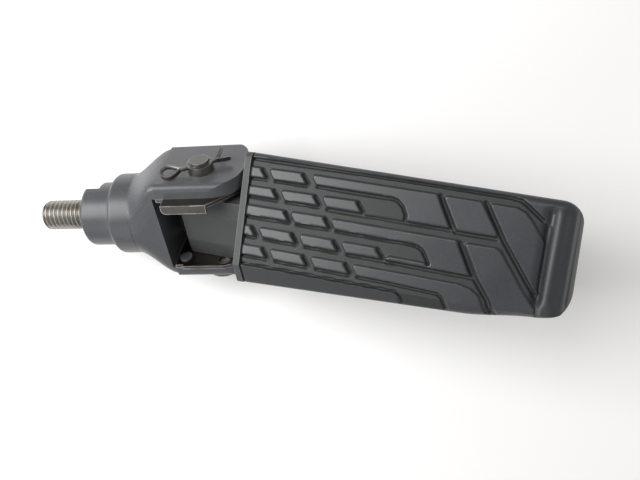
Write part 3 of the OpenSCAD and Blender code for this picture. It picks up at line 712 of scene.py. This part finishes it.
# %% Grain: fine and coarse unevenness in one value
grain_group, take, give = new_group("grain", {"Fine": 900.0, "Coarse": 60.0, "Share": 0.5}, ["Value"])
spot = put(grain_group, "ShaderNodeTexCoord")
fine = put(grain_group, "ShaderNodeTexNoise", {"Detail": 3.0, "Roughness": 0.6},
           {"Vector": spot.outputs["Object"], "Scale": take.outputs["Fine"]})
coarse = put(grain_group, "ShaderNodeTexNoise", {"Detail": 4.0, "Roughness": 0.55},
             {"Vector": spot.outputs["Object"], "Scale": take.outputs["Coarse"]})
both = put(grain_group, "ShaderNodeMix", None,
           {"Factor": take.outputs["Share"], "A": fine.outputs["Fac"], "B": coarse.outputs["Fac"]},
           data_type="FLOAT")
grain_group.links.new(both.outputs["Result"], give.inputs["Value"])

# %% Rubbed edges and painted edge highlights: where a rounded normal and the true normal part
wear_and_highlight_inputs = {"Radius": 0.0006, "Low": 0.01, "High": 0.12, "Patch": 300.0}
wear_and_highlight_group, take, give = new_group("rubbed_and_highlit_edges", wear_and_highlight_inputs, ["Mask"])
spot = put(wear_and_highlight_group, "ShaderNodeTexCoord")
real = put(wear_and_highlight_group, "ShaderNodeNewGeometry")
soft = put(wear_and_highlight_group, "ShaderNodeBevel", None, {"Radius": take.outputs["Radius"]}, samples=6)
dot = put(wear_and_highlight_group, "ShaderNodeVectorMath", operation="DOT_PRODUCT")
wear_and_highlight_group.links.new(real.outputs["Normal"], dot.inputs[0])
wear_and_highlight_group.links.new(soft.outputs["Normal"], dot.inputs[1])
bent = put(wear_and_highlight_group, "ShaderNodeMath", {0: 1.0}, operation="SUBTRACT")
wear_and_highlight_group.links.new(dot.outputs["Value"], bent.inputs[1])
span = put(wear_and_highlight_group, "ShaderNodeMapRange", None,
           {"Value": bent.outputs[0], "From Min": take.outputs["Low"], "From Max": take.outputs["High"]})
patch = put(wear_and_highlight_group, "ShaderNodeTexNoise", {"Detail": 4.0, "Roughness": 0.65},
            {"Vector": spot.outputs["Object"], "Scale": take.outputs["Patch"]})
patchy = put(wear_and_highlight_group, "ShaderNodeMapRange",
             {"From Min": 0.35, "From Max": 0.6, "To Min": 0.25, "To Max": 1.0},
             {"Value": patch.outputs["Fac"]})
rubbed_and_highlight = put(wear_and_highlight_group, "ShaderNodeMath", None, operation="MULTIPLY")
wear_and_highlight_group.links.new(span.outputs["Result"], rubbed_and_highlight.inputs[0])
wear_and_highlight_group.links.new(patchy.outputs["Result"], rubbed_and_highlight.inputs[1])
wear_and_highlight_group.links.new(rubbed_and_highlight.outputs[0], give.inputs["Mask"])

# %% Dust and painted shading: more in hollows, where shade falls, and in broken patches
dust_and_shading_group, take, give = new_group("dust_and_hollow_shading", {"Reach": 0.004, "Patch": 90.0, "Amount": 0.5}, ["Mask"])
spot = put(dust_and_shading_group, "ShaderNodeTexCoord")
# Painted shading: the occlusion marks the hollows where shade falls, and each finish gives them its own tone,
# darker on most steels and paler on the paint, the cast core and the rubber.
hidden = put(dust_and_shading_group, "ShaderNodeAmbientOcclusion", None, {"Distance": take.outputs["Reach"]}, samples=6)
deep = put(dust_and_shading_group, "ShaderNodeMapRange", {"From Min": 0.95, "From Max": 0.35},
           {"Value": hidden.outputs["AO"]})
patch = put(dust_and_shading_group, "ShaderNodeTexNoise", {"Detail": 5.0, "Roughness": 0.7},
            {"Vector": spot.outputs["Object"], "Scale": take.outputs["Patch"]})
patchy = put(dust_and_shading_group, "ShaderNodeMapRange",
             {"From Min": 0.4, "From Max": 0.75, "To Min": 0.3, "To Max": 1.0},
             {"Value": patch.outputs["Fac"]})
mixed = put(dust_and_shading_group, "ShaderNodeMath", None,
            {0: deep.outputs["Result"], 1: patchy.outputs["Result"]}, operation="MULTIPLY")
scaled = put(dust_and_shading_group, "ShaderNodeMath", None,
             {0: mixed.outputs[0], 1: take.outputs["Amount"]}, operation="MULTIPLY")
dust_and_shading_group.links.new(scaled.outputs[0], give.inputs["Mask"])
print("shared groups:", [g.name for g in bpy.data.node_groups])


# %% [markdown]
# ## Putting a finish together
#
# Every finish follows the same order: a base colour that varies with the grain,
# a lighter tone where edges are rubbed, which on the sheet is also a painted
# highlight, a tone of dust and painted shading in the hollows, roughness that
# follows the grain, and a height for the bump. Only the numbers differ from one
# metal to the next, so one function builds the tree and the calls name them.

# %% The finish of a hard piece
def group_node(tree, group, **values):
    """A node that places a shared group, with this finish's own values for its inputs."""
    node = tree.nodes.new("ShaderNodeGroup")
    node.node_tree = group
    for key, value in values.items():
        node.inputs[key].default_value = value
    return node


def blend_colour(tree, factor, a, b):
    """a where the factor is 0, b where it is 1. Each is a colour or a socket."""
    node = put(tree, "ShaderNodeMix", data_type="RGBA")
    tree.links.new(factor, node.inputs["Factor"])
    for place_in, value in ((node.inputs[6], a), (node.inputs[7], b)):
        if isinstance(value, tuple):
            place_in.default_value = (*value, 1.0)
        else:
            tree.links.new(value, place_in)
    return node.outputs[2]


def grain_span(tree, grains, least, most):
    """The grain's usual values, 0.3 to 0.7, spread from least to most."""
    values = {"From Min": 0.3, "From Max": 0.7, "To Min": least, "To Max": most}
    return put(tree, "ShaderNodeMapRange", values, {"Value": grains.outputs["Value"]}).outputs["Result"]


def grain_bump(tree, grains, distance):
    """A normal tilted by the grain, as if it were this many metres high."""
    values = {"Strength": 1.0, "Distance": distance}
    return put(tree, "ShaderNodeBump", values, {"Height": grains.outputs["Value"]}).outputs["Normal"]


def hard_finish(name, dark, light, rubbed_and_highlight, dust_and_shading_tone, metal, rough, grain, wear_and_highlight, dust_and_shading_amount, bump):
    """Base colour between dark and light by grain, then rubbed edges, with a painted highlight on the sheet,
    then dust and painted hollow shading.

    rough is the least and most roughness, grain the fine scale, coarse scale and
    share, and wear_and_highlight the radius in metres, the scale of its patches and
    the strength of the rubbed edges, which on the sheet also carry painted highlights.
    """
    material = bpy.data.materials.new(name)
    material.use_nodes = True
    tree = material.node_tree
    shader = tree.nodes["Principled BSDF"]
    shader.inputs["Metallic"].default_value = metal
    grains = group_node(tree, grain_group, Fine=grain[0], Coarse=grain[1], Share=grain[2])
    edges = group_node(tree, wear_and_highlight_group, Radius=wear_and_highlight[0], Patch=wear_and_highlight[1])
    dust_and_shading = group_node(tree, dust_and_shading_group, Amount=dust_and_shading_amount)
    colour = blend_colour(tree, grain_span(tree, grains, 0.0, 1.0), dark, light)
    # Rubbed edges: bare metal where worn, and on the sheet also a painted highlight.
    less = put(tree, "ShaderNodeMath", {1: wear_and_highlight[2]}, {0: edges.outputs["Mask"]}, operation="MULTIPLY")
    colour = blend_colour(tree, less.outputs[0], colour, rubbed_and_highlight)
    # Dust and painted shading in the hollows.
    colour = blend_colour(tree, dust_and_shading.outputs["Mask"], colour, dust_and_shading_tone)
    tree.links.new(colour, shader.inputs["Base Color"])
    tree.links.new(grain_span(tree, grains, *rough), shader.inputs["Roughness"])
    tree.links.new(grain_bump(tree, grains, bump), shader.inputs["Normal"])
    return material


# %% [markdown]
# The bracket is a casting in satin black paint: it looks dark grey because the
# paint is dull and slightly blue, and it is a little paler along its edges. The
# stud and the pins are bare steel with a brownish oil film. The click plates
# are stamped from sheet that has gone dark. Their edges are bright, partly as
# rubbed and sheared bare metal and partly as a painted highlight along the bends.
# The core is die-cast and only blasted.

# %% Metal finishes
# The paint's hollow tone is paler than the paint: painted fill light in the shaded hollows and the slot of
# the fork, along with dust.
satin_paint = hard_finish(
    "satin_black_paint", dark=(0.054, 0.056, 0.062), light=(0.076, 0.078, 0.085), rubbed_and_highlight=(0.21, 0.208, 0.205),
    dust_and_shading_tone=(0.17, 0.18, 0.16), metal=0.0, rough=(0.30, 0.40), grain=(1500.0, 90.0, 0.35),
    wear_and_highlight=(0.0005, 260.0, 0.45), dust_and_shading_amount=0.7, bump=0.000012)
oiled_steel = hard_finish(
    "oiled_bare_steel", dark=(0.30, 0.285, 0.26), light=(0.46, 0.44, 0.41), rubbed_and_highlight=(0.62, 0.60, 0.57),
    dust_and_shading_tone=(0.13, 0.115, 0.09), metal=1.0, rough=(0.30, 0.46), grain=(1100.0, 220.0, 0.5),
    wear_and_highlight=(0.0003, 500.0, 0.7), dust_and_shading_amount=0.55, bump=0.000008)
pin_steel = hard_finish(
    "phosphated_pin_steel", dark=(0.13, 0.126, 0.117), light=(0.20, 0.193, 0.182), rubbed_and_highlight=(0.66, 0.65, 0.61),
    dust_and_shading_tone=(0.12, 0.11, 0.09), metal=1.0, rough=(0.34, 0.52), grain=(1100.0, 260.0, 0.5),
    wear_and_highlight=(0.0003, 500.0, 0.8), dust_and_shading_amount=0.5, bump=0.00001)
# The sheet's near-white edge tone is partly a painted highlight along the bends, partly bare sheared metal.
bright_sheet = hard_finish(
    "bright_sheet_steel", dark=(0.085, 0.080, 0.070), light=(0.13, 0.122, 0.108), rubbed_and_highlight=(0.92, 0.91, 0.88),
    dust_and_shading_tone=(0.12, 0.11, 0.09), metal=1.0, rough=(0.30, 0.38), grain=(600.0, 120.0, 0.8),
    wear_and_highlight=(0.0004, 200.0, 1.0), dust_and_shading_amount=0.35, bump=0.000003)
blasted_core = hard_finish(
    "blasted_cast_core", dark=(0.034, 0.040, 0.038), light=(0.050, 0.057, 0.054), rubbed_and_highlight=(0.32, 0.32, 0.31),
    dust_and_shading_tone=(0.08, 0.078, 0.068), metal=0.0, rough=(0.48, 0.62), grain=(1900.0, 130.0, 0.35),
    wear_and_highlight=(0.0004, 260.0, 0.6), dust_and_shading_amount=0.3, bump=0.00003)
ball_steel = hard_finish(
    "polished_ball_steel", dark=(0.50, 0.50, 0.49), light=(0.62, 0.62, 0.61), rubbed_and_highlight=(0.7, 0.7, 0.69),
    dust_and_shading_tone=(0.2, 0.19, 0.16), metal=1.0, rough=(0.10, 0.18), grain=(900.0, 200.0, 0.5),
    wear_and_highlight=(0.0002, 500.0, 0.2), dust_and_shading_amount=0.3, bump=0.000002)

# %% [markdown]
# ## The rubber's own finish
#
# Moulded rubber is nearly black, yet its top looks grey: it is fine-grained, so
# it scatters the light of the window, and boots polish the blocks, while dust and
# painted shading sit in the hollows round them. The two numbers kept on the mesh
# steer the rest: raised tops are a little paler and smoother, and the lower ground
# and the grooves are painted darker, as shade, and dull.

# %% The rubber finish
# The ground and groove greys are painted shade, darker than the tops.
GREY, PALE_GREY, SHADED_GROUND_GREY = (0.016, 0.018, 0.0215), (0.027, 0.0305, 0.0355), (0.009, 0.010, 0.0105)
SHADED_GROOVE_GREY, RUBBED_GREY, DUST_AND_SHADING_GREY = (0.012, 0.013, 0.013), (0.10, 0.105, 0.108), (0.062, 0.060, 0.055)
EDGE_WEAR, RUBBER_GRAIN, ROUGH_GROUND, ROUGH_TOP = 0.35, 0.00003, 0.58, 0.37

rubber_finish = bpy.data.materials.new("moulded_rubber")
rubber_finish.use_nodes = True
tree = rubber_finish.node_tree
shader = tree.nodes["Principled BSDF"]
shader.inputs["Metallic"].default_value = 0.0
shader.inputs["Specular IOR Level"].default_value = 0.6
raised_and_lit = put(tree, "ShaderNodeAttribute", attribute_name="raised_and_lit", attribute_type="GEOMETRY")
groove_shade = put(tree, "ShaderNodeAttribute", attribute_name="groove_shade", attribute_type="GEOMETRY")
grains = group_node(tree, grain_group, Fine=2200.0, Coarse=110.0, Share=0.4)
dust_and_shading = group_node(tree, dust_and_shading_group, Reach=0.003, Patch=140.0, Amount=0.22)
edges = group_node(tree, wear_and_highlight_group, Radius=0.0007, Patch=220.0)
colour = blend_colour(tree, grain_span(tree, grains, 0.0, 1.0), GREY, PALE_GREY)
# Painted shade: less raised points take the darker ground grey, and points in a groove take the darker groove
# grey.
colour = blend_colour(tree, raised_and_lit.outputs["Fac"], SHADED_GROUND_GREY, colour)
colour = blend_colour(tree, groove_shade.outputs["Fac"], colour, SHADED_GROOVE_GREY)
less = put(tree, "ShaderNodeMath", {1: EDGE_WEAR}, {0: edges.outputs["Mask"]}, operation="MULTIPLY")
colour = blend_colour(tree, less.outputs[0], colour, RUBBED_GREY)
# Dust and painted shading in the rubber's hollows, paler than the rubber.
colour = blend_colour(tree, dust_and_shading.outputs["Mask"], colour, DUST_AND_SHADING_GREY)
tree.links.new(colour, shader.inputs["Base Color"])
rough = put(tree, "ShaderNodeMapRange",
            {"From Min": 0.0, "From Max": 1.0, "To Min": ROUGH_GROUND, "To Max": ROUGH_TOP},
            {"Value": raised_and_lit.outputs["Fac"]})
rough_sum = put(tree, "ShaderNodeMath", None,
                {0: rough.outputs["Result"], 1: grain_span(tree, grains, -0.05, 0.07)}, operation="ADD")
tree.links.new(rough_sum.outputs[0], shader.inputs["Roughness"])
tree.links.new(grain_bump(tree, grains, RUBBER_GRAIN), shader.inputs["Normal"])

# %% [markdown]
# ## Which piece wears which finish
#
# The solids that stay keep their meshes; only what their material slots hold
# is changed. New pieces simply get their material added.

# %% Dress the pieces
finish_of = {
    "bracket": satin_paint, "threaded_stud": oiled_steel, "pivot_pin": pin_steel, "split_pin": pin_steel,
    "upper_click_plate": bright_sheet, "lower_click_plate": bright_sheet, "peg_core": blasted_core,
    "rubber_tread": rubber_finish, "insert_plate": bright_sheet, "inner_screw": oiled_steel,
    "outer_screw": oiled_steel, "inner_washer": bright_sheet, "outer_washer": bright_sheet,
    "click_ball": ball_steel, "click_spring": oiled_steel,
}
new_pieces = ((stud, oiled_steel), (rubber, rubber_finish), (split, pin_steel), (spring, oiled_steel))


def dress(piece, material):
    """Every slot of the piece holds this material."""
    if not piece.material_slots:
        piece.data.materials.append(material)
    for one in piece.material_slots:
        one.material = material


for name, material in finish_of.items():
    dress(nodes[name], material)
for piece, material in new_pieces:
    dress(piece, material)
print("dressed pieces:", len(finish_of) + len(new_pieces))

# %% [markdown]
# ## Paper, sky and four soft boxes
#
# The catalogue picture was taken from above on white paper. A soft box to the
# left stands where the tops of the first blocks mirror it, so the sheen fades
# towards the outer end. A panel over the rear edge lightens the pad and the ear,
# a lamp in front opens the slot of the fork, and a low one to the right draws a
# line down the rolled end. The plain sky fills the rest.

# %% The paper
PAPER_HALF, PAPER_BELOW, PAPER_MIDDLE = 1.6, 0.0004, 0.06
PAPER_WHITE = (0.93, 0.925, 0.915, 1)

paper_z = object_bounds()[0][2] - PAPER_BELOW
signs = [(-1, -1), (1, -1), (1, 1), (-1, 1)]
corners = [(PAPER_MIDDLE + sx * PAPER_HALF, sy * PAPER_HALF, paper_z) for sx, sy in signs]
paper_mesh = bpy.data.meshes.new("white_paper")
paper_mesh.from_pydata(corners, [], [(0, 1, 2, 3)])
paper = bpy.data.objects.new("white_paper", paper_mesh)
bpy.context.scene.collection.objects.link(paper)
paper_finish = bpy.data.materials.new("white_paper")
paper_finish.use_nodes = True
paper_shader = paper_finish.node_tree.nodes["Principled BSDF"]
paper_shader.inputs["Base Color"].default_value = PAPER_WHITE
paper_shader.inputs["Roughness"].default_value = 0.9
paper_shader.inputs["Specular IOR Level"].default_value = 0.0
paper.data.materials.append(paper_finish)

# %% The lights
WHITE, WARM_WHITE = (1, 1, 1), (1.0, 0.975, 0.94)
SKY_STRENGTH = 0.46


def soft_box(name, aim, direction, distance, size, power, colour=WHITE):
    """A square lamp at this distance from aim along direction, facing aim."""
    lamp = bpy.data.lights.new(name, "AREA")
    lamp.shape, lamp.size, lamp.energy, lamp.color = "SQUARE", size, power, colour
    holder = bpy.data.objects.new(name, lamp)
    bpy.context.scene.collection.objects.link(holder)
    way = np.array(direction, float) / np.linalg.norm(direction)
    x_way = np.cross((0, 1, 0), way)
    x_way /= np.linalg.norm(x_way)
    turn_to = Matrix(np.stack([x_way, np.cross(way, x_way), way], 1).tolist()).to_4x4()
    holder.matrix_world = Matrix.Translation((np.array(aim) + way * distance).tolist()) @ turn_to
    return holder


soft_box("window_left", aim=(0.03, 0.01, 0.01), direction=(-0.68, 0.14, 0.73),
         distance=0.32, size=0.24, power=1.25)
soft_box("panel_over_rear", aim=(0.08, 0.01, 0.01), direction=(-0.24, 0.36, 0.90),
         distance=0.45, size=0.20, power=0.45)
soft_box("lamp_front", aim=(0.04, 0.0, 0.0), direction=(-0.35, -0.75, 0.55),
         distance=0.50, size=0.30, power=0.3)
soft_box("reflector_right", aim=(0.12, 0.0, 0.02), direction=(0.95, 0.0, 0.14),
         distance=0.45, size=0.28, power=0.6, colour=WARM_WHITE)
sky = bpy.data.worlds.new("even_sky")
sky.use_nodes = True
sky.node_tree.nodes["Background"].inputs["Color"].default_value = (1, 1, 1, 1)
sky.node_tree.nodes["Background"].inputs["Strength"].default_value = SKY_STRENGTH
bpy.context.scene.world = sky
bpy.context.scene.view_settings.view_transform = "Standard"
